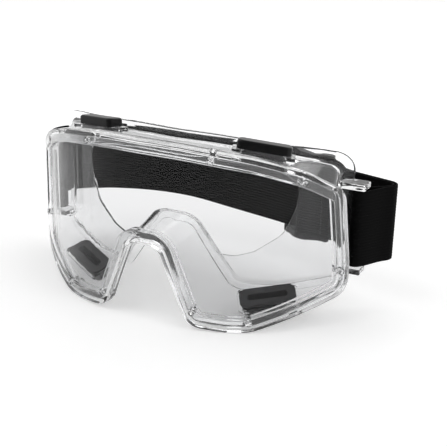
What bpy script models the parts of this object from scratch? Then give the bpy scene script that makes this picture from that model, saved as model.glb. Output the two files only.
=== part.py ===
"""Safety goggles: a soft clear frame, a curved clear lens held in its groove, small studs,
four vents with hoods, and an elastic head strap with a sliding adjuster.

The wearer looks along -Y, +X is the wearer's left, +Z is up, and z = 0 is the lobes' lower edge.
Dimensions below are in millimetres; objects are written in metres."""
import math

import bmesh
import bpy
from mathutils import Matrix, Vector

# ---- driving dimensions -------------------------------------------------------------------
FRAME_W = 177.4          # rim, side to side
FRAME_H = 94.6           # rim, lobe to brow
LENS_CURVE = 0.451       # plan curve: y = LENS_CURVE x^2/100 + LENS_WRAP (x/85)^4
LENS_WRAP = 11.0
LENS_T = 2.0
RIM_BAND = 7.0           # rim width seen from the front
RIM_LIP = 1.6            # rim plastic in front of the lens
GROOVE_GAP = 0.3         # lens to groove, each side
GROOVE_D = 4.4
REAR_LIP = 2.1
WALL_T = 1.8
DEPTH = 35.0             # lens face to face flange at the middle
FACE_CURVE = 30.0        # how much further back the flange is at the temples
FLANGE_T = 1.6
FLANGE_OUT = 5.0         # flange beyond the wall
STUD_R = 1.5
VENT_SLOT = (20.0, 4.0)
VENT_PLATE = 4.3         # plate beyond the slot
HOOD = (27.0, 9.8, 4.4)
HOOD_WALL = 1.2
PAD_T = 3.4
STRAP_W = 40.0
STRAP_T = 1.4
STRAP_Z = 47.0           # strap's middle
STRAP_LEAN = 14.0        # degrees the back of the strap leans in at its top
PLY_GAP = 0.3
BAR_R = 1.9
PLATE_T = 3.0
SLIDER_L = 29.0
SLIDER_RAIL = 3.2
SLIDER_AT = 0.62        # slider's place along the straight stretch of strap
GAP = 0.3

KX = FRAME_W / 177.4
KZ = FRAME_H / 94.6
PITCH = STRAP_T + PLY_GAP
FACET = math.sqrt(4 * GROOVE_GAP * 100 / LENS_CURVE)   # a longer facet takes the lens to its groove


# ---- plan curves --------------------------------------------------------------------------
def lens_y(x):
    u = x / KX
    return LENS_CURVE * u * u / 100 + LENS_WRAP * (u / 85) ** 4


def lens_slope(x):
    u = x / KX
    return (LENS_CURVE * u / 50 + 4 * LENS_WRAP * u ** 3 / 85 ** 4) / KX


def face_y(x):
    return DEPTH + FACE_CURVE * (x / KX / 86) ** 2


ARC = [0.0]
for n in range(1, 1401):
    mid = (n - 0.5) * 0.1
    ARC.append(ARC[-1] + 0.1 * math.hypot(1, lens_slope(mid)))


def arc_of_x(x):
    a = min(abs(x) / 0.1, len(ARC) - 1.001)
    i = int(a)
    return math.copysign(ARC[i] + (a - i) * (ARC[i + 1] - ARC[i]), x)


def x_of_arc(s):
    lo, hi = 0, len(ARC) - 1
    while hi - lo > 1:
        m = (lo + hi) // 2
        lo, hi = (m, hi) if ARC[m] <= abs(s) else (lo, m)
    return math.copysign(0.1 * (lo + (abs(s) - ARC[lo]) / (ARC[hi] - ARC[lo])), s)


def on_lens(s, z, h):
    """A point h in front of the lens face, s along its curve."""
    x = x_of_arc(s)
    k = lens_slope(x)
    n = math.hypot(1, k)
    return Vector((x + h * k / n, lens_y(x) - h / n, z))


# ---- rounded outlines ---------------------------------------------------------------------
def rounded(corners, closed, step=8.0, turn=13.0, counts=None):
    """Corners (u, v, radius) to points with left-hand normals; counts fixes the sampling."""
    n = len(corners)
    pts, used = [], []
    for i in range(n):
        p = Vector(corners[i][:2])
        if not closed and i in (0, n - 1):
            q = Vector(corners[1][:2]) if i == 0 else Vector(corners[n - 2][:2])
            d = (q - p if i == 0 else p - q).normalized()
            arc = [(p, Vector((-d.y, d.x)))]
        else:
            a, b = Vector(corners[i - 1][:2]), Vector(corners[(i + 1) % n][:2])
            d0, d1 = (p - a).normalized(), (b - p).normalized()
            ang = math.atan2(d0.x * d1.y - d0.y * d1.x, d0.dot(d1))
            r = corners[i][2]
            t = r * math.tan(abs(ang) / 2)
            m = counts[i][0] if counts else max(2, math.ceil(abs(math.degrees(ang)) / turn),
                                                math.ceil(abs(ang) * r / FACET))
            used.append(m)
            side = 1 if ang > 0 else -1
            n0 = Vector((-d0.y, d0.x))
            c = p - d0 * t + n0 * r * side
            arc = []
            for k in range(m + 1):
                f = ang * k / m
                nn = Vector((n0.x * math.cos(f) - n0.y * math.sin(f),
                             n0.x * math.sin(f) + n0.y * math.cos(f)))
                arc.append((c - nn * r * side, nn))
        if not closed and i in (0, n - 1):
            used.append(0)
        pts.append(arc)
    out, runs = [], []
    for i in range(n):
        out += pts[i]
        if not closed and i == n - 1:
            runs.append(0)
            break
        a, b = pts[i][-1], pts[(i + 1) % n][0]
        m = counts[i][1] if counts else max(1, math.ceil((b[0] - a[0]).length / step))
        runs.append(m)
        out += [(a[0].lerp(b[0], k / m), a[1].lerp(b[1], k / m).normalized()) for k in range(1, m)]
    return out, list(zip(used, runs))


def mirrored(half):
    """A half outline from the nose outward, up and over, closed on its other side."""
    return [tuple(c) for c in half] + [(-u, v, r) for u, v, r in reversed(half)]


# half outlines: nose top, lobe inside, lobe bottom, lobe outside, side, temple top, brow
RIM = [(7.8, 41.3, 6.5), (23.4, 1.8, 10.5), (41, 0, 22), (52, 0, 25), (88.7, 16.9, 10),
       (88.7, 32, 60), (85.8, 70.8, 10), (72, 81.6, 60), (52, 89.6, 130), (20, 94.6, 200)]
FLANGE = [(8.0, 42, 7), (30, 9.5, 10.5), (41, 8.5, 14), (54, 8.8, 20), (89.5, 16, 9),
          (85.0, 36, 40), (84.3, 83.5, 11), (70, 86.2, 60), (50, 88.8, 120), (22, 91.7, 200)]
OPENING = [(9, 46.5, 9), (22, 28, 7), (31, 27.5, 9), (41, 31, 9), (54, 41, 12),
           (60, 56, 30), (60.5, 68.5, 8), (53, 75, 12), (40, 77.5, 30), (20, 79.5, 60)]


def outline(half, counts=None):
    return rounded(mirrored([(u * KX, v * KZ, r) for u, v, r in half]), True, counts=counts)


rim_half = [(arc_of_x(u * KX), v * KZ, r) for u, v, r in RIM]
rim, COUNTS = rounded(mirrored(rim_half), True)
flange, _ = outline(FLANGE, COUNTS)
opening, _ = outline(OPENING, COUNTS)
NS = len(rim)


def inset(point, i):
    """Move a contour point i inward; the contour runs with its inside on the left."""
    return point[0] + point[1] * i


def on_rim(k, i, h):
    q = inset(rim[k], i)
    return on_lens(q.x, q.y, h)


def on_face(k, i, back):
    q = inset(flange[k], i)
    return Vector((q.x, face_y(q.x) - back, q.y))


def wall_mid(k, v):
    a = on_rim(k, 1.8 + WALL_T / 2, REAR)
    b = on_face(k, FLANGE_OUT + WALL_T / 2, FLANGE_T)
    return a.lerp(b, v)


FRONT = GROOVE_GAP + RIM_LIP
BACK = -LENS_T - GROOVE_GAP
REAR = BACK - REAR_LIP


# ---- mesh helpers -------------------------------------------------------------------------
def material(name, rgb, rough, alpha=1.0, clear=0.0):
    m = bpy.data.materials.new(name)
    m.use_nodes = True
    b = m.node_tree.nodes["Principled BSDF"]
    b.inputs["Base Color"].default_value = (*rgb, 1)
    b.inputs["Roughness"].default_value = rough
    b.inputs["Alpha"].default_value = alpha
    b.inputs["Transmission Weight"].default_value = clear
    m.diffuse_color = (*rgb, alpha)
    return m


def solid(name, parts, mat):
    """One object from closed shells, each a (points, faces) pair in millimetres."""
    bm = bmesh.new()
    for pts, faces in parts:
        vs = [bm.verts.new(Vector(p) * 0.001) for p in pts]
        for f in faces:
            bm.faces.new([vs[i] for i in f])
    bmesh.ops.recalc_face_normals(bm, faces=bm.faces)
    mesh = bpy.data.meshes.new(name)
    bm.to_mesh(mesh)
    bm.free()
    ob = bpy.data.objects.new(name, mesh)
    bpy.context.collection.objects.link(ob)
    if mat:
        mesh.materials.append(mat)
    return ob


def loft(rings, closed):
    """Rings of equal length joined in order; closed joins the last to the first."""
    m, n = len(rings[0]), len(rings)
    pts = [p for r in rings for p in r]
    faces = []
    for a in range(n if closed else n - 1):
        b = (a + 1) % n
        for i in range(m):
            j = (i + 1) % m
            faces += [(a * m + i, a * m + j, b * m + j), (a * m + i, b * m + j, b * m + i)]
    if not closed:
        faces += [tuple(reversed(range(m))), tuple(range((n - 1) * m, n * m))]
    return pts, faces


def prism(plan, z0, z1):
    return loft([[Vector((p[0], p[1], z)) for p in plan] for z in (z0, z1)], False)


def rod(a, b, r, sides=16):
    d = (b - a).normalized()
    e = d.orthogonal().normalized()
    f = d.cross(e)
    ring = [(math.cos(t) * e + math.sin(t) * f) * r
            for t in (2 * math.pi * i / sides for i in range(sides))]
    return loft([[a + q for q in ring], [b + q for q in ring]], False)


def boolean(target, cutters, how):
    for c in cutters:
        m = target.modifiers.new(how.lower(), "BOOLEAN")
        m.operation, m.solver, m.object = how, "EXACT", c
        c.hide_render = True
        c.display_type = "WIRE"
    bpy.context.view_layer.update()
    deps = bpy.context.evaluated_depsgraph_get()
    mesh = bpy.data.meshes.new_from_object(target.evaluated_get(deps))
    target.modifiers.clear()
    target.data = mesh
    for c in cutters:
        bpy.data.objects.remove(c)


for ob in list(bpy.data.objects):
    bpy.data.objects.remove(ob)

CLEAR_SOFT = material("clear_vinyl", (0.90, 0.92, 0.93), 0.12, 0.35, 1.0)
CLEAR_HARD = material("clear_polycarbonate", (0.93, 0.95, 0.96), 0.04, 0.3, 1.0)
BLACK = material("black_plastic", (0.02, 0.02, 0.022), 0.4)
GREY = material("grey_plastic", (0.10, 0.10, 0.105), 0.5)
WEB = material("black_elastic", (0.012, 0.012, 0.012), 0.9)


# ---- frame shell --------------------------------------------------------------------------
def shell_ring(k):
    band, foot = RIM_BAND, FLANGE_OUT + WALL_T
    mouth = opening[k][0]
    lip = [on_rim(k, band, GROOVE_GAP), on_rim(k, band, FRONT - 0.5),
           on_rim(k, band - 0.5, FRONT), on_rim(k, 0.7, FRONT), on_rim(k, 0, FRONT - 0.7),
           on_rim(k, 0, REAR), on_rim(k, 1.8, REAR)]
    back = [on_face(k, FLANGE_OUT, FLANGE_T), on_face(k, 0, FLANGE_T), on_face(k, 0, 0),
            Vector((mouth.x, face_y(mouth.x), mouth.y)),
            Vector((mouth.x, face_y(mouth.x) - FLANGE_T, mouth.y)),
            on_face(k, foot, FLANGE_T)]
    rear = [on_rim(k, 1.8 + WALL_T, REAR), on_rim(k, band, REAR), on_rim(k, band, BACK),
            on_rim(k, RIM_BAND - GROOVE_D, BACK), on_rim(k, RIM_BAND - GROOVE_D, GROOVE_GAP)]
    return lip + back + rear


shell = solid("frame_shell", [loft([shell_ring(k) for k in range(NS)], True)], CLEAR_SOFT)


# vent seats: a flat pad on the wall, found from where the vent sits in plan
def seat(x, y, top):
    best = None
    for k in range(NS):
        for j in range(1, 20):
            p = wall_mid(k, j / 20)
            if (p.z > 0.5 * FRAME_H) == top:
                d = math.hypot(p.x - x, p.y - y)
                if best is None or d < best[0]:
                    best = (d, k, j / 20)
    _, k, v = best
    k0, k1 = (k - 2) % NS, (k + 2) % NS
    along = wall_mid(k1, v) - wall_mid(k0, v)
    back = wall_mid(k, min(v + 0.15, 1)) - wall_mid(k, v - 0.15)
    w = along.cross(back).normalized()
    w = w if (w.z > 0) == top else -w
    u = (along if along.x > 0 else -along).normalized()
    return Matrix((u, w.cross(u), w)).transposed().to_4x4(), wall_mid(k, v)


def rect_ring(half_u, half_v, r, height, per=4):
    pts = []
    for cu, cv, a0 in ((1, 1, 0), (-1, 1, 90), (-1, -1, 180), (1, -1, 270)):
        for j in range(per + 1):
            a = math.radians(a0 + 90 * j / per)
            pts.append(Vector((cu * (half_u - r) + r * math.cos(a),
                               cv * (half_v - r) + r * math.sin(a), height)))
    return pts


def place(part, frame):
    rot, at = frame
    return [at + rot @ p for p in part[0]], part[1]


SEATS = {}
for side, sx in (("left", 1), ("right", -1)):
    SEATS["top_" + side] = seat(46 * KX * sx, DEPTH + 0.8, True)
    SEATS["bottom_" + side] = seat(52.3 * KX * sx, DEPTH - 1.0, False)

su, sv = VENT_SLOT[0] / 2, VENT_SLOT[1] / 2
COLLAR = 1.2
pads = [solid("pad", [place(loft([rect_ring(su + 5.5, sv + 5.2, 2.5, h)
                                  for h in (-PAD_T / 2, PAD_T / 2)], False), s)], None)
        for s in SEATS.values()]
windows = [solid("window", [place(loft([rect_ring(su + COLLAR + GAP, sv + COLLAR + GAP, 2.5, h)
                                        for h in (-PAD_T, PAD_T)], False), s)], None)
           for s in SEATS.values()]
faces = [solid("seat_face", [place(loft([rect_ring(su + 5.0, sv + 4.8, 2.4, h)
                                         for h in (a * (PAD_T / 2 + 0.03), a * (PAD_T / 2 + 1.6))], False),
                                   s)], None)
         for s in SEATS.values() for a in (1, -1)]
faces += [solid("hood_room", [place(loft([rect_ring(HOOD[0] / 2 + GAP, HOOD[1] / 2 + GAP, 3.0, h)
                                          for h in (PAD_T / 2 + 0.9, PAD_T / 2 + HOOD[2] + 2 * GAP)],
                                         False), s)], None)
          for s in SEATS.values()]

# outriggers: a plate above and one below the strap, and the bar the strap turns round
BAR = Vector((88.8 * KX, DEPTH + 23.4))
zt, zb = STRAP_Z + STRAP_W / 2 + 0.8, STRAP_Z - STRAP_W / 2 - 0.8
lugs = []
for sx in (1, -1):
    plan = [(-9.4, -4.6), (3.1, -4.4), (4.1, -3.4), (4.1, 3.9), (3.1, 4.9), (-9.4, 3.8)]
    plan = [(sx * (BAR.x + a), BAR.y + b) for a, b in plan]
    lugs.append(solid("lug", [prism(plan, zt, zt + PLATE_T)], None))
    lugs.append(solid("lug", [prism(plan, zb - PLATE_T, zb)], None))
    a = Vector((sx * BAR.x, BAR.y, zb - PLATE_T / 2))
    lugs.append(solid("lug", [rod(a, Vector((a.x, a.y, zt + PLATE_T / 2)), BAR_R, 18)], None))


# studs through the rim and the lens edge
def stud_station(x, z):
    return min(range(NS), key=lambda k: (x_of_arc(rim[k][0].x) - x) ** 2 + (rim[k][0].y - z) ** 2)


STUDS = {"brow": (35.5, 94), "temple": (73, 81), "side": (88, 30), "lobe": (51, 0), "nose": (22, 8)}
stud_axes = []
for sx in (1, -1):
    for x, z in STUDS.values():
        k = stud_station(sx * x * KX, z * KZ)
        stud_axes.append([on_rim(k, 4.6, h) for h in (FRONT + 0.35, REAR + 0.5, FRONT + 2, REAR - 2)])
stud_holes = [rod(a[2], a[3], STUD_R + GAP, 12) for a in stud_axes]

boolean(shell, pads + lugs, "UNION")
boolean(shell, faces + windows + [solid("drill", stud_holes, None)], "DIFFERENCE")


# ---- lens and studs -----------------------------------------------------------------------
def span(s, edge):
    zs = []
    for a, b in zip(edge, edge[1:] + edge[:1]):
        if (a.x - s) * (b.x - s) <= 0 and abs(a.x - b.x) > 1e-9:
            zs.append(a.y + (b.y - a.y) * (s - a.x) / (b.x - a.x))
    return min(zs), max(zs)


lens_edge = [inset(p, RIM_BAND - GROOVE_D + 0.4) for p in rim]
columns = []
reach = max(p.x for p in lens_edge) - 0.12
for s in sorted([p.x for p in lens_edge if abs(p.x) < reach] + [-reach, reach]):
    if not columns or s - columns[-1] > 0.7 or s == reach:
        columns.append(s)
rings = []
for s in columns:
    lo, hi = span(s, lens_edge)
    rings.append([on_lens(s, lo, 0), on_lens(s, hi, 0), on_lens(s, hi, -LENS_T),
                  on_lens(s, lo, -LENS_T)])
lens = solid("lens", [loft(rings, False)], CLEAR_HARD)
boolean(lens, [solid("drill", stud_holes, None)], "DIFFERENCE")
names = [f"stud_{where}_{side}" for side in ("left", "right") for where in STUDS]
for name, a in zip(names, stud_axes):
    solid(name, [rod(a[0], a[1], STUD_R, 12)], CLEAR_SOFT)


# ---- vents --------------------------------------------------------------------------------
def vent_base():
    top, low = PAD_T / 2 + 1.0, -PAD_T / 2 - GAP
    steps = [(0, low - 1.2), (0, top), (COLLAR, top), (COLLAR, low),
             (VENT_PLATE, low), (VENT_PLATE, low - 1.2)]
    return loft([rect_ring(su + d, sv + d, 1.4 + d * 0.6, h) for d, h in steps], True)


def vent_hood(front):
    """A cap over the slot, raised off its seat on the side away from the face."""
    hu, hv, hh = HOOD[0] / 2, HOOD[1] / 2, HOOD[2]
    foot = PAD_T / 2 + GAP

    def foot_ring(du):
        ring = rect_ring(hu - du, hv - du, 3.0 - du, foot)
        for p in ring:
            if p.y * front > hv - du - 1.0 and abs(p.x) < hu - 3.5:
                p.z += 1.3
        return ring

    crown = rect_ring(hu - 1.0, hv - 1.0, 2.4, foot + hh)
    sill = rect_ring(hu, hv, 3.0, foot + hh - 1.0)
    roof = rect_ring(hu - HOOD_WALL, hv - HOOD_WALL, 1.8, foot + hh - HOOD_WALL)
    return loft([crown, sill, foot_ring(0), foot_ring(HOOD_WALL), roof], False)


for name, frame in SEATS.items():
    back = frame[0] @ Vector((0, 1, 0))
    solid("vent_base_" + name, [place(vent_base(), frame)], GREY)
    solid("vent_hood_" + name, [place(vent_hood(-1 if back.y > 0 else 1), frame)], BLACK)


# ---- strap and slider ---------------------------------------------------------------------
FOLD = Vector((105.0 * KX, DEPTH + 42.3))
FAR = Vector((14.0 * KX, DEPTH + 64.6))
REST = Vector((-50.0 * KX, DEPTH + 68.8))
TURN = Vector((-115.3 * KX, DEPTH + 42.3))
LBAR = Vector((-BAR.x, BAR.y))
LOOP = BAR_R + 0.4 + STRAP_T / 2
z0, z1 = STRAP_Z - STRAP_W / 2, STRAP_Z + STRAP_W / 2


def strip(name, path, mat):
    """A band of strap from plan points with normals."""
    half = STRAP_T / 2
    rings = []
    for p, n in path:
        lean = math.radians(STRAP_LEAN) * smooth((22 * KX - p.x) / 55) * smooth((p.y - DEPTH - 46) / 14)
        c, s = math.cos(lean), math.sin(lean)
        ring = []
        for d, h in ((-half, z0), (half, z0), (half, z1), (-half, z1)):
            h -= STRAP_Z
            q = p + n * (d * c - h * s)
            ring.append((q.x, q.y, STRAP_Z + h * c + d * s))
        rings.append(ring)
    return solid(name, [loft(rings, False)], mat)


def bend(c, r, a0, a1, n, side):
    out = []
    for j in range(n + 1):
        a = a0 + (a1 - a0) * j / n
        d = Vector((math.cos(a), math.sin(a)))
        out.append((c + d * r, d * side))
    return out


def offset(path, amount):
    """Shift plan points along their normals; amount may follow the distance along."""
    out, run = [], 0.0
    for j, (p, n) in enumerate(path):
        run += (p - path[j - 1][0]).length if j else 0
        out.append((p + n * (amount(run) if callable(amount) else amount), n))
    return out


def smooth(t):
    t = max(0.0, min(1.0, t))
    return t * t * (3 - 2 * t)


def length(path):
    return sum((b[0] - a[0]).length for a, b in zip(path, path[1:]))


# the base line runs from the wearer's right bar round the back to the left one; its left-hand
# normal points away from the head, and the two plies lie half a pitch either side of it
base, _ = rounded([(LBAR.x, LBAR.y, 0), (TURN.x, TURN.y, 13), (REST.x, REST.y, 85),
                   (FAR.x, FAR.y, 150), (FOLD.x, FOLD.y, 4.2), (BAR.x, BAR.y, 0)],
                  False, step=3.0, turn=9.0)
total = length(base)


def spread(run):
    near = min(run, total - run)
    return LOOP + (PITCH / 2 - LOOP) * smooth((near - 1.0) / 15.0)


def wrap(c, n_out, turns, side, n=14):
    """Half a turn about a bar, from the outer ply to the inner one, round its front."""
    a0 = math.atan2(n_out.y, n_out.x)
    return bend(c, LOOP, a0, a0 + turns * math.pi, n, side)


outer = offset(base, spread)
left = wrap(LBAR, base[0][1], 1, 1)
right = wrap(BAR, base[-1][1], -1, 1)
TAIL = 24.0
tail = []
run = 0.0
for j, (p, n) in enumerate(base):
    run += (p - base[j - 1][0]).length if j else 0
    if run > TAIL:
        break
    tail.append((p - n * spread(run), -n))
band = list(reversed(tail)) + list(reversed(left[1:-1])) + outer + right[1:-1]
strip("strap_band", band, WEB)

# the slider sits on the straight stretch between FAR and FOLD
U = (FAR - FOLD).normalized()
N = Vector((-U.y, U.x))
N = N if N.y > 0 else -N
SL = FOLD.lerp(FAR, SLIDER_AT)


def at_slider(u, n):
    return SL + U * u + N * n


inner0 = -PITCH / 2
BAR_T = 1.6
back_n = inner0 - STRAP_T / 2 - 0.3 - BAR_T / 2          # centre bar's middle
inner1 = 2 * back_n - inner0
r_wrap = (inner0 - inner1) / 2
WRAP_U = 0.6
ply = []
run = 0.0
for j in range(len(base) - 1, -1, -1):
    p, n = base[j]
    run += (p - base[j + 1][0]).length if j < len(base) - 1 else 0
    if (p - SL).dot(U) > WRAP_U - 1.5 and abs((p - SL).dot(N)) < 2:
        break
    ply.append((p - n * spread(run), n))
ply.append((at_slider(WRAP_U, inner0), N))
turn = []
for j in range(1, 13):
    a = math.pi * j / 12
    d = U * math.sin(a) + N * math.cos(a)
    turn.append((at_slider(WRAP_U, back_n) + d * r_wrap, d))
lap0, lap1 = 8.0, 12.0
under = inner0 - PITCH
seam = []
for j in range(1, 15):
    u = WRAP_U - (lap0 + lap1) * j / 14
    f = smooth((WRAP_U - u - 2.0) / (lap0 + 2))
    seam.append((at_slider(u, inner1 + (under - inner1) * f), -N))
ret = ply + turn + seam
strip("strap_return", [(p, n) for p, n in ret], WEB)

hl = SLIDER_L / 2
out_n = PITCH / 2 + STRAP_T / 2 + GAP                     # outer bars' near face
low_n = back_n - BAR_T / 2
bow = [(-hl, out_n - 1.3), (-hl + 1.2, out_n - 2.0), (-hl + 4.5, out_n - 1.9), (-4.2, low_n + 0.1),
       (-2.6, low_n - 0.4), (2.6, low_n - 0.4), (4.2, low_n + 0.1), (hl - 4.5, out_n - 1.9),
       (hl - 1.2, out_n - 2.0), (hl, out_n - 1.3), (hl, out_n + 1.2), (hl - 1.0, out_n + 1.8),
       (hl - 4.6, out_n + 1.8), (3.2, back_n + 2.6), (-3.2, back_n + 2.6), (-hl + 4.6, out_n + 1.8),
       (-hl + 1.0, out_n + 1.8), (-hl, out_n + 1.2)]
rail0 = z0 - 0.4
rail1 = z1 + 0.4


def slider_prism(plan, a, b):
    return prism([at_slider(u, n) for u, n in plan], a, b)


end_bar = [(-hl + 0.3, out_n), (-hl + 3.6, out_n), (-hl + 3.6, out_n + 1.2),
           (-hl + 3.1, out_n + 1.6), (-hl + 0.9, out_n + 1.6), (-hl + 0.3, out_n + 1.1)]
mid_bar = [(-1.2, back_n - 0.5), (-0.9, back_n - 0.8), (0.6, back_n - 0.8), (1.1, back_n - 0.4),
           (1.1, back_n + 0.4), (0.6, back_n + 0.8), (-0.9, back_n + 0.8), (-1.2, back_n + 0.5)]
slider = solid("strap_slider", [slider_prism(bow, rail1, rail1 + SLIDER_RAIL)], BLACK)
bars = [solid("bar", [slider_prism(plan, rail0 - 1.6, rail1 + 1.6)], None)
        for plan in (end_bar, [(-u, n) for u, n in reversed(end_bar)], mid_bar)]
boolean(slider, [solid("rail", [slider_prism(bow, rail0 - SLIDER_RAIL, rail0)], None)] + bars, "UNION")

# ---- set the row's origin: middle of the plan, lobes' lower edge --------------------------
ys = [v.co.y for ob in bpy.data.objects for v in ob.data.vertices]
y_mid = (min(ys) + max(ys)) / 2
for ob in bpy.data.objects:
    ob.data.transform(Matrix.Translation((0, -y_mid, 0)))
origin = Vector((SL.x * 0.001, SL.y * 0.001 - y_mid, STRAP_Z * 0.001))
slider.data.transform(Matrix.Translation(-origin))
slider.location = origin
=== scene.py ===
"""Safety goggles on a plain pale floor: clear frame and lens, vents, ribbed elastic strap."""
import math

import bmesh
import bpy
import numpy as np
from mathutils import Matrix, Vector


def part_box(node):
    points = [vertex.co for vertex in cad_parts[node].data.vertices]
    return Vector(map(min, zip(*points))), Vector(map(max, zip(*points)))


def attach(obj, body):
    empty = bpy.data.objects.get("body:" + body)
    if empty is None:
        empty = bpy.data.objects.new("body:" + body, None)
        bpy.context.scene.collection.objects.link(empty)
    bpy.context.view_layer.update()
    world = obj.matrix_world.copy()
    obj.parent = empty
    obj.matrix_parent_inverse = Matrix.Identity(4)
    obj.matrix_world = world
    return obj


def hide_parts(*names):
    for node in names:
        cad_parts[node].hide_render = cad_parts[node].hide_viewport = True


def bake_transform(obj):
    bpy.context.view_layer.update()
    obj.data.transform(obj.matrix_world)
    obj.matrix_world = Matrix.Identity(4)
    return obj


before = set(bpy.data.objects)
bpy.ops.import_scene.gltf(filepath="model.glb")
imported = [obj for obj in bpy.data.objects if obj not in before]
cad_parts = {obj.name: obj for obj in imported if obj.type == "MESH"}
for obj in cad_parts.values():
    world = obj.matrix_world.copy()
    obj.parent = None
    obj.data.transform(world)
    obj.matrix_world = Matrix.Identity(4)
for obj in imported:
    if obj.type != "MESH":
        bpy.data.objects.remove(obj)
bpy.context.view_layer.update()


# ---- the CAD's driving dimensions, in millimetres -----------------------------------------
LENS_CURVE, LENS_WRAP, LENS_T = 0.451, 11.0, 2.0
RIM_BAND, RIM_LIP, GROOVE_GAP, GROOVE_D, REAR_LIP = 7.0, 1.6, 0.3, 4.4, 2.1
WALL_T, DEPTH, FACE_CURVE, FLANGE_T, FLANGE_OUT = 1.8, 35.0, 30.0, 1.6, 5.0
WALL_IN = 1.8                                         # rim's edge to the wall's outside
MID_Z = 47.3                                          # half of the frame's height
STUD_R, GAP = 1.5, 0.3
STUD_IN, STUD_MID = 4.6, -1.3                         # in from the rim's edge, and in depth
VENT_SLOT, VENT_PLATE, COLLAR = (20.0, 4.0), 4.3, 1.2
HOOD, HOOD_WALL, PAD_T = (27.0, 9.8, 4.4), 1.2, 3.4
STRAP_W, STRAP_T, STRAP_Z, STRAP_LEAN, PLY_GAP = 40.0, 1.4, 47.0, 14.0, 0.3
BAR_R, PLATE_T = 1.9, 3.0
SLIDER_L, SLIDER_RAIL, SLIDER_AT = 29.0, 3.2, 0.62
PITCH = STRAP_T + PLY_GAP
FRONT = GROOVE_GAP + RIM_LIP
BACK = -LENS_T - GROOVE_GAP
REAR = BACK - REAR_LIP
Y0 = -FRONT - 1000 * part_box("frame_shell")[0][1]      # CAD design y of the row's origin


def lens_y(x):
    return LENS_CURVE * x * x / 100 + LENS_WRAP * (x / 85) ** 4


def lens_slope(x):
    return LENS_CURVE * x / 50 + 4 * LENS_WRAP * x ** 3 / 85 ** 4


def face_y(x):
    return DEPTH + FACE_CURVE * (x / 86) ** 2


XS = np.linspace(0, 140, 5601)
SLOPES = lens_slope((XS[1:] + XS[:-1]) / 2)
ARC = np.concatenate([[0], np.cumsum(np.diff(XS) * np.hypot(1, SLOPES))])


def arc_of_x(x):
    return math.copysign(float(np.interp(abs(x), XS, ARC)), x)


def x_of_arc(s):
    return math.copysign(float(np.interp(abs(s), ARC, XS)), s)


def on_lens(s, z, h):
    x = x_of_arc(s)
    k = lens_slope(x)
    n = math.hypot(1, k)
    return Vector((x + h * k / n, lens_y(x) - h / n, z))


# ---- rounded outlines, as in the CAD but sampled finely -----------------------------------
def rounded(pts_in, closed, step=3.0, turn=5.0, counts=None):
    """(u, v, radius) corners as (point, left normal) pairs, and the counts to repeat it with."""
    n = len(pts_in)
    pts, used = [], []
    for i in range(n):
        p = Vector(pts_in[i][:2])
        if not closed and i in (0, n - 1):
            q = Vector(pts_in[1][:2]) if i == 0 else Vector(pts_in[n - 2][:2])
            d = (q - p if i == 0 else p - q).normalized()
            arc = [(p, Vector((-d.y, d.x)))]
            used.append(0)
        else:
            a, b = Vector(pts_in[i - 1][:2]), Vector(pts_in[(i + 1) % n][:2])
            d0, d1 = (p - a).normalized(), (b - p).normalized()
            ang = math.atan2(d0.x * d1.y - d0.y * d1.x, d0.dot(d1))
            r = pts_in[i][2]
            m = counts[i][0] if counts else max(2, math.ceil(abs(math.degrees(ang)) / turn))
            used.append(m)
            side = 1 if ang > 0 else -1
            n0 = Vector((-d0.y, d0.x))
            c = p - d0 * r * math.tan(abs(ang) / 2) + n0 * r * side
            arc = []
            for k in range(m + 1):
                f = ang * k / m
                nn = Vector((n0.x * math.cos(f) - n0.y * math.sin(f),
                             n0.x * math.sin(f) + n0.y * math.cos(f)))
                arc.append((c - nn * r * side, nn))
        pts.append(arc)
    out, runs = [], []
    for i in range(n):
        out += pts[i]
        if not closed and i == n - 1:
            runs.append(0)
            break
        a, b = pts[i][-1], pts[(i + 1) % n][0]
        m = counts[i][1] if counts else max(1, math.ceil((b[0] - a[0]).length / step))
        runs.append(m)
        out += [(a[0].lerp(b[0], k / m), a[1].lerp(b[1], k / m).normalized()) for k in range(1, m)]
    return out, list(zip(used, runs))


def mirrored(half):
    return [tuple(c) for c in half] + [(-u, v, r) for u, v, r in reversed(half)]


RIM = [(7.8, 41.3, 6.5), (23.4, 1.8, 10.5), (41, 0, 22), (52, 0, 25), (88.7, 16.9, 10),
       (88.7, 32, 60), (85.8, 70.8, 10), (72, 81.6, 60), (52, 89.6, 130), (20, 94.6, 200)]
FLANGE = [(8.0, 42, 7), (30, 9.5, 10.5), (41, 8.5, 14), (54, 8.8, 20), (89.5, 16, 9),
          (85.0, 36, 40), (84.3, 83.5, 11), (70, 86.2, 60), (50, 88.8, 120), (22, 91.7, 200)]
OPENING = [(9, 46.5, 9), (22, 28, 7), (31, 27.5, 9), (41, 31, 9), (54, 41, 12),
           (60, 56, 30), (60.5, 68.5, 8), (53, 75, 12), (40, 77.5, 30), (20, 79.5, 60)]
rim, COUNTS = rounded(mirrored([(arc_of_x(u), v, r) for u, v, r in RIM]), True)
flange = rounded(mirrored(FLANGE), True, counts=COUNTS)[0]
opening = rounded(mirrored(OPENING), True, counts=COUNTS)[0]
NS = len(rim)


def inset(point, i):
    return point[0] + point[1] * i


def on_rim(k, i, h):
    q = inset(rim[k], i)
    return on_lens(q.x, q.y, h)


def on_face(k, i, back):
    q = inset(flange[k], i)
    return Vector((q.x, face_y(q.x) - back, q.y))


def wall_mid(k, v):
    return on_rim(k, WALL_IN + WALL_T / 2, REAR).lerp(
        on_face(k, FLANGE_OUT + WALL_T / 2, FLANGE_T), v)


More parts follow.
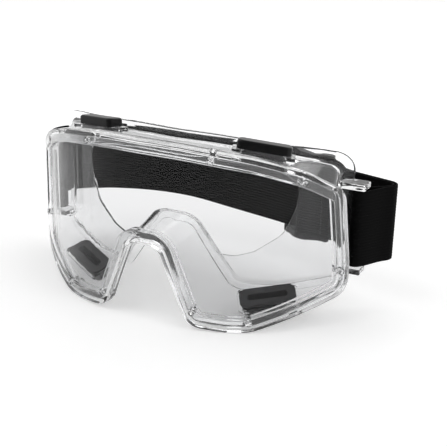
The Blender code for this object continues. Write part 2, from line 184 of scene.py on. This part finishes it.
# ---- mesh helpers -------------------------------------------------------------------------
def solid(name, parts, mat=None, sharp=40):
    """One object from closed shells given as (points, faces) in design millimetres."""
    bm = bmesh.new()
    for pts, faces in parts:
        vs = [bm.verts.new(Vector((p[0], p[1] - Y0, p[2])) * 0.001) for p in pts]
        for f in faces:
            bm.faces.new([vs[i] for i in f])
    bmesh.ops.recalc_face_normals(bm, faces=bm.faces)
    mesh = bpy.data.meshes.new(name)
    bm.to_mesh(mesh)
    bm.free()
    mesh.shade_smooth()
    mesh.set_sharp_from_angle(angle=math.radians(sharp))
    ob = bpy.data.objects.new(name, mesh)
    bpy.context.scene.collection.objects.link(ob)
    if mat:
        mesh.materials.append(mat)
    return ob


def loft(rings, closed):
    m, n = len(rings[0]), len(rings)
    pts = [p for r in rings for p in r]
    faces = []
    for a in range(n if closed else n - 1):
        b = (a + 1) % n
        faces += [(a * m + i, a * m + (i + 1) % m, b * m + (i + 1) % m, b * m + i)
                  for i in range(m)]
    if not closed:
        faces += [tuple(reversed(range(m))), tuple(range((n - 1) * m, n * m))]
    return pts, faces


def prism(plan, z0, z1):
    return loft([[Vector((p[0], p[1], z)) for p in plan] for z in (z0, z1)], False)


def rod(a, b, r, sides=24):
    d = (b - a).normalized()
    e = d.orthogonal().normalized()
    f = d.cross(e)
    ring = [(math.cos(t) * e + math.sin(t) * f) * r
            for t in (2 * math.pi * i / sides for i in range(sides))]
    return loft([[a + q for q in ring], [b + q for q in ring]], False)


def soften(ring, radii, n=2):
    """Round a ring's corners; radii are how far each rounding reaches along its edges."""
    out = []
    m = len(ring)
    for i, p in enumerate(ring):
        a, b = ring[i - 1], ring[(i + 1) % m]
        ra = min(radii[i], 0.45 * (a - p).length)
        rb = min(radii[i], 0.45 * (b - p).length)
        pa, pb = p + (a - p).normalized() * ra, p + (b - p).normalized() * rb
        for j in range(n + 1):
            t = j / n
            out.append(pa * (1 - t) ** 2 + p * 2 * t * (1 - t) + pb * t * t)
    return out


def boolean(target, cutters, how):
    for c in cutters:
        m = target.modifiers.new(how.lower(), "BOOLEAN")
        m.operation, m.solver, m.object = how, "EXACT", c
    bpy.context.view_layer.update()
    deps = bpy.context.evaluated_depsgraph_get()
    mesh = bpy.data.meshes.new_from_object(target.evaluated_get(deps))
    target.modifiers.clear()
    old, target.data = target.data, mesh
    bpy.data.meshes.remove(old)
    for c in cutters:
        bpy.data.objects.remove(c)
    mesh.shade_smooth()
    mesh.set_sharp_from_angle(angle=math.radians(32))


def flats(ob):
    """Shade flat faces by their own normals, which clear plastic needs to look clear."""
    m = ob.modifiers.new("normals", "WEIGHTED_NORMAL")
    m.mode, m.weight, m.keep_sharp = "FACE_AREA", 100, True
    return ob


def bevelled(ob, width):
    m = ob.modifiers.new("bevel", "BEVEL")
    m.width, m.segments = width, 2
    m.limit_method, m.angle_limit = "ANGLE", math.radians(35)
    return ob


# ---- materials ----------------------------------------------------------------------------
def nodes_of(name):
    m = bpy.data.materials.new(name)
    m.use_nodes = True
    nt = m.node_tree
    return m, nt, nt.nodes["Principled BSDF"]


def tex(nt, kind, scale, **props):
    coord = nt.nodes.new("ShaderNodeTexCoord")
    t = nt.nodes.new(kind)
    nt.links.new(coord.outputs["Object"], t.inputs["Vector"])
    t.inputs["Scale"].default_value = scale
    for k, v in props.items():
        if k in t.inputs:
            t.inputs[k].default_value = v
        else:
            setattr(t, k, v)
    return t


def remap(nt, source, lo, hi, a=0.0, b=1.0):
    m = nt.nodes.new("ShaderNodeMapRange")
    nt.links.new(source, m.inputs["Value"])
    for key, v in (("From Min", a), ("From Max", b), ("To Min", lo), ("To Max", hi)):
        m.inputs[key].default_value = v
    return m.outputs["Result"]


def bump(nt, bsdf, height, strength, dist):
    b = nt.nodes.new("ShaderNodeBump")
    b.inputs["Strength"].default_value = strength
    b.inputs["Distance"].default_value = dist
    nt.links.new(height, b.inputs["Height"])
    nt.links.new(b.outputs["Normal"], bsdf.inputs["Normal"])


def ramp(nt, source, stops):
    """A two-stop colour ramp from (position, rgb) pairs."""
    node = nt.nodes.new("ShaderNodeValToRGB")
    nt.links.new(source, node.inputs["Fac"])
    for element, (position, rgb) in zip(node.color_ramp.elements, stops):
        element.position, element.color = position, (*rgb, 1)
    return node.outputs["Color"]


def mixed(nt, factor, a, b):
    node = nt.nodes.new("ShaderNodeMix")
    node.data_type = "RGBA"
    node.inputs["A"].default_value = (*a, 1)
    node.inputs["B"].default_value = (*b, 1)
    nt.links.new(factor, node.inputs["Factor"])
    return node.outputs["Result"]


def clear(name, tint, through, rough, ior, wave, spec):
    m, nt, b = nodes_of(name)
    b.inputs["Specular IOR Level"].default_value = spec
    n = tex(nt, "ShaderNodeTexNoise", 60.0, Detail=3.0)
    paler = [min(1, c * 1.02) for c in tint]
    nt.links.new(mixed(nt, n.outputs["Fac"], tint, paler), b.inputs["Base Color"])
    nt.links.new(remap(nt, n.outputs["Fac"], rough * 0.6, rough * 1.4, 0.3, 0.7),
                 b.inputs["Roughness"])
    b.inputs["IOR"].default_value = ior
    b.inputs["Transmission Weight"].default_value = through
    w = tex(nt, "ShaderNodeTexNoise", 22.0, Detail=1.0)
    bump(nt, b, w.outputs["Fac"], wave, 0.002)
    return m


def plastic(name, rgb, rough, grain, spec):
    m, nt, b = nodes_of(name)
    b.inputs["Specular IOR Level"].default_value = spec
    n = tex(nt, "ShaderNodeTexNoise", 900.0, Detail=4.0)
    big = tex(nt, "ShaderNodeTexNoise", 45.0, Detail=3.0)
    stops = [(0.0, [c * 0.8 for c in rgb]), (1.0, [c * 1.2 for c in rgb])]
    nt.links.new(ramp(nt, big.outputs["Fac"], stops), b.inputs["Base Color"])
    nt.links.new(remap(nt, n.outputs["Fac"], rough - 0.08, rough + 0.08), b.inputs["Roughness"])
    bump(nt, b, n.outputs["Fac"], grain, 0.0002)
    return m


def webbing(name, rgb):
    m, nt, b = nodes_of(name)
    fine = tex(nt, "ShaderNodeTexNoise", 1400.0, Detail=3.0)
    stops = [(0.35, [c * 0.45 for c in rgb]), (0.7, [c * 1.6 for c in rgb])]
    nt.links.new(ramp(nt, fine.outputs["Fac"], stops), b.inputs["Base Color"])
    nt.links.new(remap(nt, fine.outputs["Fac"], 0.75, 0.95), b.inputs["Roughness"])
    b.inputs["Sheen Weight"].default_value = 0.01
    b.inputs["Sheen Roughness"].default_value = 0.5
    b.inputs["Specular IOR Level"].default_value = 0.08
    bump(nt, b, fine.outputs["Fac"], 0.12, 0.0001)
    return m


VINYL = clear("clear_vinyl_look", (0.965, 0.967, 0.97), 0.98, 0.05, 1.37, 0.01, 0.5)
POLY = clear("clear_lens_look", (0.79, 0.792, 0.797), 1.0, 0.008, 1.2, 0.0008, 0.25)
BLACK = plastic("black_plastic_look", (0.004, 0.004, 0.0044), 0.36, 0.1, 0.22)
GREY = plastic("grey_plastic_look", (0.085, 0.085, 0.087), 0.5, 0.12, 0.3)
THREAD = webbing("black_thread_look", (0.009, 0.009, 0.0095))
WEB = webbing("black_elastic_look", (0.0018, 0.0018, 0.0019))

# ---- frame shell --------------------------------------------------------------------------
RADII = [0.2, 0.25, 0.5, 0.7, 0.7, 0.6, 0.8, 1.6, 0.7, 0.7, 0.6, 0.6, 1.4, 0.6, 0.5, 0.2, 0.2, 0.2]


def shell_ring(k):
    band, foot = RIM_BAND, FLANGE_OUT + WALL_T
    mouth = opening[k][0]
    ring = [on_rim(k, band, GROOVE_GAP), on_rim(k, band, FRONT - 0.5),
            on_rim(k, band - 0.5, FRONT), on_rim(k, 0.7, FRONT), on_rim(k, 0, FRONT - 0.7),
            on_rim(k, 0, REAR), on_rim(k, WALL_IN, REAR),
            on_face(k, FLANGE_OUT, FLANGE_T), on_face(k, 0, FLANGE_T), on_face(k, 0, 0),
            Vector((mouth.x, face_y(mouth.x), mouth.y)),
            Vector((mouth.x, face_y(mouth.x) - FLANGE_T, mouth.y)),
            on_face(k, foot, FLANGE_T),
            on_rim(k, WALL_IN + WALL_T, REAR), on_rim(k, band, REAR), on_rim(k, band, BACK),
            on_rim(k, RIM_BAND - GROOVE_D, BACK), on_rim(k, RIM_BAND - GROOVE_D, GROOVE_GAP)]
    return soften(ring, RADII)


shell = solid("visual_frame_shell", [loft([shell_ring(k) for k in range(NS)], True)], VINYL)


def seat(x, y, top):
    """The rim index and the share of the wall's depth nearest to plan point (x, y)."""
    best = min(((math.hypot(p.x - x, p.y - y), k, j / 40)
                for k in range(NS) for j in range(2, 39)
                for p in (wall_mid(k, j / 40),) if (p.z > MID_Z) == top))
    return best[1], best[2]


def rect_ring(half_u, half_v, r, height, per=6):
    pts = []
    for cu, cv, a0 in ((1, 1, 0), (-1, 1, 90), (-1, -1, 180), (1, -1, 270)):
        for j in range(per + 1):
            a = math.radians(a0 + 90 * j / per)
            pts.append(Vector((cu * (half_u - r) + r * math.cos(a),
                               cv * (half_v - r) + r * math.sin(a), height)))
    return pts


def place(part, spot):
    return [spot[1] + spot[0] @ p for p in part[0]], part[1]


TOP_SEAT, BOTTOM_SEAT = (46, 0.8), (52.3, -1.0)       # across, and back from DEPTH


def seat_frame(side, top):
    """A vent's name and seat: the turn that lays it on the wall, and the point it sits at."""
    name = ("top" if top else "bottom") + ("_left" if side > 0 else "_right")
    across, further = TOP_SEAT if top else BOTTOM_SEAT
    k, v = seat(across * side, DEPTH + further, top)
    a, b = wall_mid((k + 5) % NS, v), wall_mid((k - 5) % NS, v)
    along = a - b
    back = wall_mid(k, min(v + 0.15, 1)) - wall_mid(k, v - 0.15)
    w = along.cross(back).normalized()
    w = w if (w.z > 0) == top else -w
    u = (along if along.x > 0 else -along).normalized()
    rot = Matrix((u, w.cross(u), w)).transposed().to_4x4()
    return name, (rot, wall_mid(k, v))


SEATS = dict(seat_frame(s, t) for s in (1, -1) for t in (True, False))
su, sv = VENT_SLOT[0] / 2, VENT_SLOT[1] / 2


def seat_parts(du, dv, r, pairs):
    return [place(loft([rect_ring(su + du, sv + dv, r, h) for h in pair], False), s)
            for s in SEATS.values() for pair in pairs]


H = PAD_T / 2
PAD, POCKET = (5.5, 5.2, 2.5), (5.0, 4.8, 2.4)        # beyond the slot each way, corner radius
PLATE_ROOM = 0.8                                      # strap's edge to an outrigger plate
BAR = Vector((88.8, DEPTH + 23.4))
zt, zb = STRAP_Z + STRAP_W / 2 + PLATE_ROOM, STRAP_Z - STRAP_W / 2 - PLATE_ROOM
plates, bars = [], []
for sx in (1, -1):
    plan = [(-9.4, -4.6), (3.6, -4.3), (4.1, -3.8), (4.1, 4.4), (3.6, 4.9), (-9.4, 3.8)]
    plan = [Vector((sx * (BAR.x + a), BAR.y + b, 0)) for a, b in plan]
    plan = soften(plan, [0.1, 0.4, 0.4, 0.4, 0.4, 0.1], 2)
    for z0, z1 in ((zt, zt + PLATE_T), (zb - PLATE_T, zb)):
        rings = []
        mid = sum(plan, Vector()) / len(plan)
        for z, pull in ((z0, 0.35), (z0 + 0.35, 0), (z1 - 0.35, 0), (z1, 0.35)):
            rings.append([Vector((*(p + (mid - p).normalized() * pull).xy, z)) for p in plan])
        plates.append(loft(rings, False))
    a = Vector((sx * BAR.x, BAR.y, zb - PLATE_T / 2))
    bars.append(rod(a, Vector((a.x, a.y, zt + PLATE_T / 2)), BAR_R))

studs = {}
for side in ("left", "right"):
    for where in ("brow", "temple", "side", "lobe", "nose"):
        lo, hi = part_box(f"stud_{where}_{side}")
        mid = (Vector(lo) + Vector(hi)) * 500 + Vector((0, Y0, 0))
        k = min(range(NS), key=lambda j: (on_rim(j, STUD_IN, STUD_MID) - mid).length)
        d = (on_rim(k, STUD_IN, 0) - on_rim(k, STUD_IN, -2)).normalized()
        studs[f"stud_{where}_{side}"] = (mid, d)
HALF_STUD = (FRONT + 0.35 - REAR - 0.5) / 2
holes = [rod(m + d * 6, m - d * 6, STUD_R + GAP) for m, d in studs.values()]

boolean(shell, [solid("c1", seat_parts(*PAD, [(-H, H)])), solid("c2", plates),
                solid("c3", bars)], "UNION")
boolean(shell, [solid("c4", seat_parts(*POCKET, [(H + 0.03, H + 1.6), (-H - 1.6, -H - 0.03)])),
                solid("c5", seat_parts(COLLAR + GAP, COLLAR + GAP, 2.5, [(-PAD_T, PAD_T)])),
                solid("c6", holes)], "DIFFERENCE")
flats(shell)
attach(shell, "goggles")
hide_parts("frame_shell")


# ---- lens ---------------------------------------------------------------------------------
def span(s, edge):
    zs = []
    for a, b in zip(edge, edge[1:] + edge[:1]):
        if (a.x - s) * (b.x - s) <= 0 and abs(a.x - b.x) > 1e-9:
            zs.append(a.y + (b.y - a.y) * (s - a.x) / (b.x - a.x))
    return min(zs), max(zs)


edge = [inset(p, RIM_BAND - GROOVE_D + 0.4) for p in rim]
reach = max(p.x for p in edge) - 0.05
cols = []
for s in sorted([p.x for p in edge if abs(p.x) < reach] + [-reach, reach]):
    if not cols or s - cols[-1] > 0.3 or s == reach:
        cols.append(s)
rings = []
for s in cols:
    lo, hi = span(s, edge)
    c = min(0.3, (hi - lo) / 3)
    rings.append([on_lens(s, lo + c, 0), on_lens(s, hi - c, 0), on_lens(s, hi, -0.3),
                  on_lens(s, hi, 0.3 - LENS_T), on_lens(s, hi - c, -LENS_T),
                  on_lens(s, lo + c, -LENS_T), on_lens(s, lo, 0.3 - LENS_T), on_lens(s, lo, -0.3)])
lens = solid("visual_lens", [loft(rings, False)], POLY, 30)
boolean(lens, [solid("c7", holes)], "DIFFERENCE")
flats(lens)
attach(lens, "goggles")
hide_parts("lens")

for name, (m, d) in studs.items():
    e = d.orthogonal().normalized()
    f = d.cross(e)
    prof = [(-HALF_STUD, STUD_R - 0.25), (-HALF_STUD + 0.25, STUD_R), (HALF_STUD - 0.5, STUD_R),
            (HALF_STUD - 0.18, STUD_R - 0.18), (HALF_STUD, STUD_R - 0.6)]
    rings = [[m + d * t + (math.cos(a) * e + math.sin(a) * f) * r
              for a in (2 * math.pi * i / 28 for i in range(28))] for t, r in prof]
    ob = solid("visual_" + name, [loft(rings, False)], VINYL, 50)
    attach(ob, "goggles")
    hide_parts(name)


# ---- vents --------------------------------------------------------------------------------
def vent_base():
    top, low = H + 1.0, -H - GAP
    steps = [(0.25, low - 1.2), (0, low - 0.95), (0, top), (COLLAR, top), (COLLAR, low),
             (VENT_PLATE, low), (VENT_PLATE, low - 0.8), (VENT_PLATE - 0.4, low - 1.2)]
    return loft([rect_ring(su + d, sv + d, 1.4 + d * 0.6, h, 8) for d, h in steps], True)


def vent_hood(front):
    hu, hv, hh = HOOD[0] / 2, HOOD[1] / 2, HOOD[2]
    foot = H + GAP

    def foot_ring(du):
        ring = rect_ring(hu - du, hv - du, 3.0 - du, foot, 8)
        for p in ring:
            if p.y * front > hv - du - 1.0 and abs(p.x) < hu - 3.5:
                p.z += 1.3
        return ring

    rings = [rect_ring(hu - 1.5, hv - 1.5, 2.0, foot + hh, 8),
             rect_ring(hu - 0.9, hv - 0.9, 2.4, foot + hh - 0.08, 8),
             rect_ring(hu - 0.35, hv - 0.35, 2.8, foot + hh - 0.4, 8),
             rect_ring(hu, hv, 3.0, foot + hh - 1.1, 8), foot_ring(0), foot_ring(HOOD_WALL),
             rect_ring(hu - HOOD_WALL, hv - HOOD_WALL, 1.8, foot + hh - HOOD_WALL, 8)]
    return loft(rings, False)


for name, spot in SEATS.items():
    back = spot[0] @ Vector((0, 1, 0))
    base = solid("visual_vent_base_" + name, [place(vent_base(), spot)], GREY, 45)
    hood = solid("visual_vent_hood_" + name, [place(vent_hood(-1 if back.y > 0 else 1), spot)],
                 BLACK, 45)
    for ob, node, s in ((base, "vent_base_", "grey_plastic"),
                        (hood, "vent_hood_", "black_plastic")):
        flats(ob)
        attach(ob, "goggles")
        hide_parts(node + name)

# ---- strap --------------------------------------------------------------------------------
FOLD = Vector((105.0, DEPTH + 42.3))
FAR = Vector((14.0, DEPTH + 64.6))
REST = Vector((-50.0, DEPTH + 68.8))
TURN = Vector((-115.3, DEPTH + 42.3))
LBAR = Vector((-BAR.x, BAR.y))
LOOP = BAR_R + 0.4 + STRAP_T / 2
RIBS = 26


def strip(name, path):
    """Ribbed webbing along plan points: its face swells and dips across its width."""
    n = RIBS * 6
    prof = []
    for side in (1, -1):
        for j in range(n + 1):
            t = j / n if side > 0 else 1 - j / n
            z = (t - 0.5) * STRAP_W
            edge_in = min(1.0, (STRAP_W / 2 - abs(z)) / 0.7)
            depth = STRAP_T / 2 * (0.35 + 0.65 * math.sqrt(max(0.0, 1 - (1 - edge_in) ** 2)))
            depth -= 0.13 * (0.5 - 0.5 * math.cos(2 * math.pi * RIBS * t)) * (edge_in > 0.5)
            prof.append((side * depth, z))
    rings = []
    for p, n_ in path:
        # nothing leans at the slider's stretch or at either turn
        lean = math.radians(STRAP_LEAN) * smooth((22 - p.x) / 55) * smooth((p.y - DEPTH - 46) / 14)
        c, s = math.cos(lean), math.sin(lean)
        rings.append([Vector((*(p + n_ * (d * c - z * s)), STRAP_Z + z * c + d * s))
                      for d, z in prof])
    return solid(name, [loft(rings, False)], WEB, 75)


def bend(c, r, a0, a1, n):
    out = []
    for j in range(n + 1):
        a = a0 + (a1 - a0) * j / n
        d = Vector((math.cos(a), math.sin(a)))
        out.append((c + d * r, d))
    return out


def smooth(t):
    t = max(0.0, min(1.0, t))
    return t * t * (3 - 2 * t)


# the line midway between the two plies, in plan, from the wearer's-right bar to the left one
base_line, _ = rounded([(LBAR.x, LBAR.y, 0), (TURN.x, TURN.y, 13), (REST.x, REST.y, 85),
                        (FAR.x, FAR.y, 150), (FOLD.x, FOLD.y, 4.2), (BAR.x, BAR.y, 0)],
                       False, step=2.5, turn=6.0)
runs = [0.0]
for a, b in zip(base_line, base_line[1:]):
    runs.append(runs[-1] + (b[0] - a[0]).length)
total = runs[-1]


def spread(run):
    near = min(run, total - run)
    return LOOP + (PITCH / 2 - LOOP) * smooth((near - 1.0) / 15.0)


outer = [(p + n * spread(r), n) for (p, n), r in zip(base_line, runs)]
a0 = math.atan2(base_line[0][1].y, base_line[0][1].x)
left = bend(LBAR, LOOP, a0, a0 + math.pi, 20)
a1 = math.atan2(base_line[-1][1].y, base_line[-1][1].x)
right = bend(BAR, LOOP, a1, a1 - math.pi, 20)
tail = [(p - n * spread(r), -n) for (p, n), r in zip(base_line, runs) if r <= 24.0]
band = list(reversed(tail)) + list(reversed(left[1:-1])) + outer + right[1:-1]
strap = strip("visual_strap_band", band)
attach(strap, "goggles")
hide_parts("strap_band")

U = (FAR - FOLD).normalized()
N = Vector((-U.y, U.x))
N = N if N.y > 0 else -N
SL = FOLD.lerp(FAR, SLIDER_AT)


def at_slider(u, n):
    return SL + U * u + N * n


inner0 = -PITCH / 2
BAR_T = 1.6
back_n = inner0 - STRAP_T / 2 - GAP - BAR_T / 2
inner1 = 2 * back_n - inner0
r_wrap = (inner0 - inner1) / 2
WRAP_U = 0.6
ply = []
for (p, n), r in reversed(list(zip(base_line, runs))):
    if (p - SL).dot(U) > WRAP_U - 1.5 and abs((p - SL).dot(N)) < 2:
        break
    ply.append((p - n * spread(r), n))
ply.append((at_slider(WRAP_U, inner0), N))
for j in range(1, 17):
    a = math.pi * j / 16
    d = U * math.sin(a) + N * math.cos(a)
    ply.append((at_slider(WRAP_U, back_n) + d * r_wrap, d))
LAP0, LAP1 = 8.0, 12.0
under = inner0 - PITCH
for j in range(1, 25):
    u = WRAP_U - (LAP0 + LAP1) * j / 24
    f = smooth((WRAP_U - u - 2.0) / (LAP0 + 2))
    ply.append((at_slider(u, inner1 + (under - inner1) * f), -N))
ret = strip("visual_strap_return", ply)


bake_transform(ret)
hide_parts("strap_return")

STITCH = [(-0.95, 0.06), (-0.8, 0.2), (-0.45, 0.27), (0.45, 0.27), (0.8, 0.2), (0.95, 0.06)]
STITCHES, STITCH_PITCH = 15, 2.5


def stitches(name, spots, body):
    """Rows of thread across the strap, half sunk in its face. Guessed, not seen in the photo."""
    rows = []
    for p in spots:
        for j in range(STITCHES):
            c = Vector((*p, STRAP_Z + (j - STITCHES // 2) * STITCH_PITCH))
            rows.append(loft([[c + Vector((r * math.cos(a), r * math.sin(a), h))
                               for a in (math.pi * i / 5 for i in range(10))]
                              for h, r in STITCH], False))
    ob = solid(name, rows, THREAD)
    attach(ob, body)


lap = [p + n * (STRAP_T / 2 + 0.02) for (p, n), r in zip(outer, runs) if 10 < r < 24]
stitches("strap_lap_stitches", [lap[0], lap[-1]], "goggles")
lap = [at_slider(u, under - STRAP_T / 2 - 0.02) for u in (-12.5, -18.0)]
stitches("slider_lap_stitches", lap, "slider")

# ---- slider -------------------------------------------------------------------------------
hl = SLIDER_L / 2
out_n = PITCH / 2 + STRAP_T / 2 + GAP
low_n = back_n - BAR_T / 2
bow = [(-hl, out_n - 1.3), (-hl + 1.2, out_n - 2.0), (-hl + 4.5, out_n - 1.9), (-4.2, low_n + 0.1),
       (-2.6, low_n - 0.4), (2.6, low_n - 0.4), (4.2, low_n + 0.1), (hl - 4.5, out_n - 1.9),
       (hl - 1.2, out_n - 2.0), (hl, out_n - 1.3), (hl, out_n + 1.2), (hl - 1.0, out_n + 1.8),
       (hl - 4.6, out_n + 1.8), (3.2, back_n + 2.6), (-3.2, back_n + 2.6), (-hl + 4.6, out_n + 1.8),
       (-hl + 1.0, out_n + 1.8), (-hl, out_n + 1.2)]
bow = [v.xy for v in soften([Vector((*q, 0)) for q in bow], [1.5] * len(bow), 2)]
RAIL_ROOM = 0.4
rail0, rail1 = STRAP_Z - STRAP_W / 2 - RAIL_ROOM, STRAP_Z + STRAP_W / 2 + RAIL_ROOM


def slider_prism(plan, a, b):
    return prism([at_slider(u, n) for u, n in plan], a, b)


end_bar = [(-hl + 0.3, out_n), (-hl + 3.6, out_n), (-hl + 3.6, out_n + 1.2),
           (-hl + 3.1, out_n + 1.6), (-hl + 0.9, out_n + 1.6), (-hl + 0.3, out_n + 1.1)]
mid_bar = [(-1.2, back_n - 0.5), (-0.9, back_n - 0.8), (0.6, back_n - 0.8), (1.1, back_n - 0.4),
           (1.1, back_n + 0.4), (0.6, back_n + 0.8), (-0.9, back_n + 0.8), (-1.2, back_n + 0.5)]
slider = solid("visual_strap_slider", [slider_prism(bow, rail1, rail1 + SLIDER_RAIL)], BLACK)
boolean(slider, [solid("c8", [slider_prism(bow, rail0 - SLIDER_RAIL, rail0)])]
        + [solid("c9", [slider_prism(p, rail0 - 1.6, rail1 + 1.6)])
           for p in (end_bar, [(-u, n) for u, n in reversed(end_bar)], mid_bar)], "UNION")
flats(bevelled(slider, 0.00035))
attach(slider, "slider")
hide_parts("strap_slider")

# ---- floor, light, camera -----------------------------------------------------------------
# the camera was fitted to the photo's outline; its shifts and distance are in millimetres
AZ, EL, ROLL = map(math.radians, (25.57, 21.11, 1.37))
RIGHTWARD, DOWNWARD, DISTANCE, AIM_Z = 38.49, 9.21, 492.72, 62
B = Vector((math.sin(AZ) * math.cos(EL), -math.cos(AZ) * math.cos(EL), math.sin(EL)))
R0 = Vector((math.cos(AZ), math.sin(AZ), 0))
U0 = B.cross(R0)
R = R0 * math.cos(ROLL) + U0 * math.sin(ROLL)
V = U0 * math.cos(ROLL) - R0 * math.sin(ROLL)
at = R * RIGHTWARD - V * DOWNWARD + B * DISTANCE + Vector((0, -Y0, AIM_Z))
cam = bpy.data.objects.new("camera", bpy.data.cameras.new("camera"))
cam.data.lens, cam.data.sensor_width = 82.63, 36.0
cam.data.clip_start = 0.01
cam.matrix_world = Matrix.Translation(at * 0.001) @ Matrix((R, V, B)).transposed().to_4x4()
bpy.context.scene.collection.objects.link(cam)
bpy.context.scene.camera = cam

m, nt, b = nodes_of("floor_look")
b.inputs["Roughness"].default_value = 0.9
b.inputs["Specular IOR Level"].default_value = 0.0
n = tex(nt, "ShaderNodeTexNoise", 3.0)
nt.links.new(mixed(nt, n.outputs["Fac"], (0.93,) * 3, (0.95,) * 3), b.inputs["Base Color"])
b.inputs["Emission Color"].default_value = (1, 1, 1, 1)
b.inputs["Emission Strength"].default_value = 0.33
bm = bmesh.new()
bmesh.ops.create_circle(bm, cap_ends=True, segments=64, radius=6.0)
mesh = bpy.data.meshes.new("floor")
bm.to_mesh(mesh)
bm.free()
mesh.materials.append(m)
floor = bpy.data.objects.new("floor", mesh)
bpy.context.scene.collection.objects.link(floor)

world_ = bpy.data.worlds.new("studio")
bpy.context.scene.world = world_
world_.use_nodes = True
nt = world_.node_tree
bg = nt.nodes["Background"]
coord = nt.nodes.new("ShaderNodeTexCoord")
sep = nt.nodes.new("ShaderNodeSeparateXYZ")
nt.links.new(coord.outputs["Generated"], sep.inputs["Vector"])
overhead = ramp(nt, sep.outputs["Z"], [(0.3, (1,) * 3), (0.95, (0.5,) * 3)])
turn = nt.nodes.new("ShaderNodeMath")
turn.operation = "MULTIPLY_ADD"
turn.inputs[1].default_value, turn.inputs[2].default_value = 0.5, 0.5
nt.links.new(sep.outputs["Y"], turn.inputs[0])
front = ramp(nt, turn.outputs[0], [(0.12, (0.25,) * 3), (0.4, (1,) * 3)])
both = nt.nodes.new("ShaderNodeMix")
both.data_type, both.blend_type = "RGBA", "MULTIPLY"
both.inputs["Factor"].default_value = 1.0
nt.links.new(overhead, both.inputs["A"])
nt.links.new(front, both.inputs["B"])
nt.links.new(both.outputs["Result"], bg.inputs["Color"])
bg.inputs["Strength"].default_value = 1.0


def softbox(name, pos, target, w, h, watts):
    light = bpy.data.lights.new(name, "AREA")
    light.shape, light.size, light.size_y, light.energy = "RECTANGLE", w, h, watts
    ob = bpy.data.objects.new(name, light)
    d = Vector(target) - Vector(pos)
    ob.location = pos
    ob.rotation_euler = d.to_track_quat("-Z", "Y").to_euler()
    bpy.context.scene.collection.objects.link(ob)


softbox("key", (-0.5, -0.5, 0.95), (0, 0, 0.03), 0.7, 0.7, 2.6)
softbox("fill", (0.9, -0.2, 0.7), (0, 0, 0.03), 0.35, 0.8, 1.2)
softbox("rear", (0.0, 0.9, 0.8), (0, 0, 0.03), 1.0, 0.4, 1.6)
bpy.context.scene.view_settings.view_transform = "Standard"
